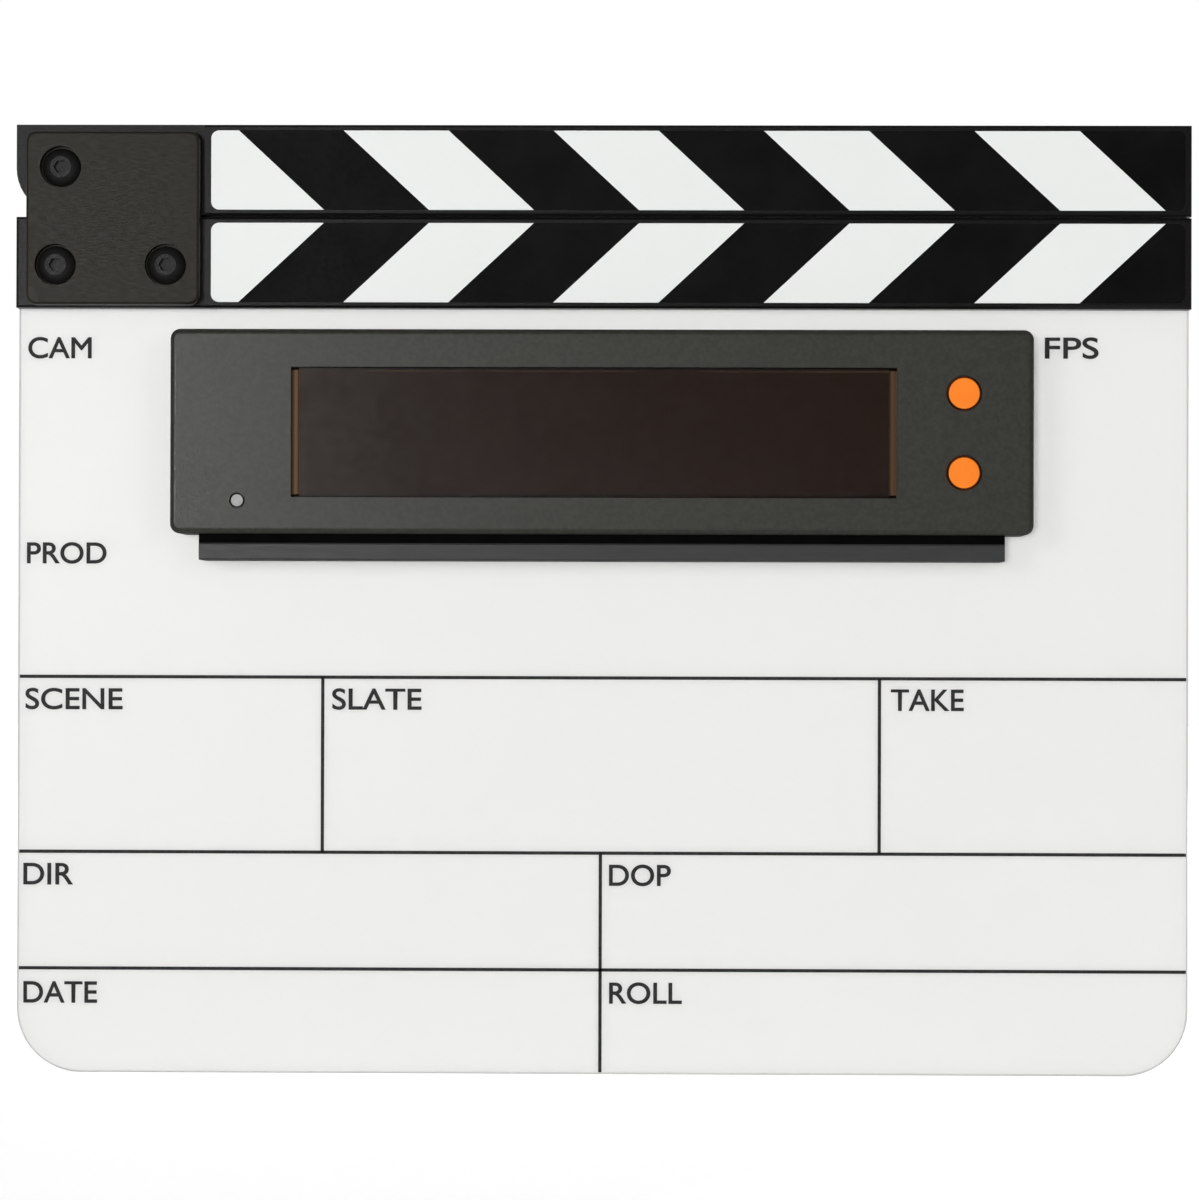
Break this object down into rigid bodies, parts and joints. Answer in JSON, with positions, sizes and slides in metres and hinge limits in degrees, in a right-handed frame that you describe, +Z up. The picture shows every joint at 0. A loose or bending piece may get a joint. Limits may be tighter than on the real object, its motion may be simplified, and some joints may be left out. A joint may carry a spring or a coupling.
{
  "type": "clapperboard",
  "caption": "Film clapperboard: opal writing board, hinged striped clapstick over a fixed striped bar, and a battery display unit with push buttons on a bracket.",
  "frame": {"origin": "middle of the writing board's bottom edge, at half the board's thickness", "axes": "+X to the right as the writing side is read, +Y from the writing side to the back, +Z up to the clapstick"},
  "size_m": [0.2916, 0.0352, 0.2358],
  "materials": {
    "opal_acrylic": "satin opal sheet",
    "bar_black": "fine matte black",
    "inlay_white": "smooth white laminate",
    "inlay_black": "smooth black laminate",
    "anodised_plate": "dark anodised, fine horizontal grain",
    "anodised_bracket": "dark anodised, matte",
    "pad_rubber": "matte black",
    "black_steel": "black oxide",
    "bronze": "plain bearing bronze",
    "brass_insert": "plain brass",
    "nylon": "natural nylon",
    "housing_grey": "fine-grained dark grey",
    "window_tint": "tinted clear",
    "button_orange": "satin orange",
    "digit_face": "dark filter face",
    "circuit_green": "solder mask",
    "battery_wrap": "silver film",
    "switch_black": "moulded",
    "light_clear": "frosted clear",
    "socket_steel": "stamped shell"
  },
  "bodies": {
    "board": {"writing_board": "opal_acrylic", "lower_stick": "bar_black", "lower_white_stripes": "inlay_white", "lower_black_stripes": "inlay_black", "front_hinge_plate": "anodised_plate", "rear_hinge_plate": "anodised_plate", "pivot_screw": "black_steel", "hinge_screws": "black_steel", "pivot_washers": "nylon", "stick_screws": "black_steel", "display_bracket": "anodised_bracket", "seat_pad": "pad_rubber", "camera_screw": "black_steel", "tripod_insert": "brass_insert", "bracket_screws": "black_steel", "front_housing": "housing_grey", "rear_cover": "housing_grey", "display_window": "window_tint", "digit_modules": "digit_face", "circuit_board": "circuit_green", "battery_pack": "battery_wrap", "cover_screws": "black_steel", "switch_bodies": "switch_black", "light_guide": "light_clear", "status_lamp": "light_clear", "usb_socket": "socket_steel", "jack_socket": "switch_black"},
    "clapstick": {"upper_stick": "bar_black", "upper_white_stripes": "inlay_white", "upper_black_stripes": "inlay_black", "pivot_bush": "bronze"},
    "upper_push": {"upper_button": "button_orange", "upper_plunger": "switch_black"},
    "lower_push": {"lower_button": "button_orange", "lower_plunger": "switch_black"}
  },
  "joints": [
    {"name": "clap", "type": "hinge", "parent": "board", "child": "clapstick", "pos_m": [-0.13432, 0, 0.22493], "axis": [0, -1, 0], "range_deg": [0, 90]},
    {"name": "upper_press", "type": "slide", "parent": "board", "child": "upper_push", "axis": [0, 1, 0], "range_m": [0, 0.0006], "stiffness_N_per_m": 1500, "springref_m": -0.0005},
    {"name": "lower_press", "type": "slide", "parent": "board", "child": "lower_push", "axis": [0, 1, 0], "range_m": [0, 0.0006], "stiffness_N_per_m": 1500, "springref_m": -0.0005}
  ]
}
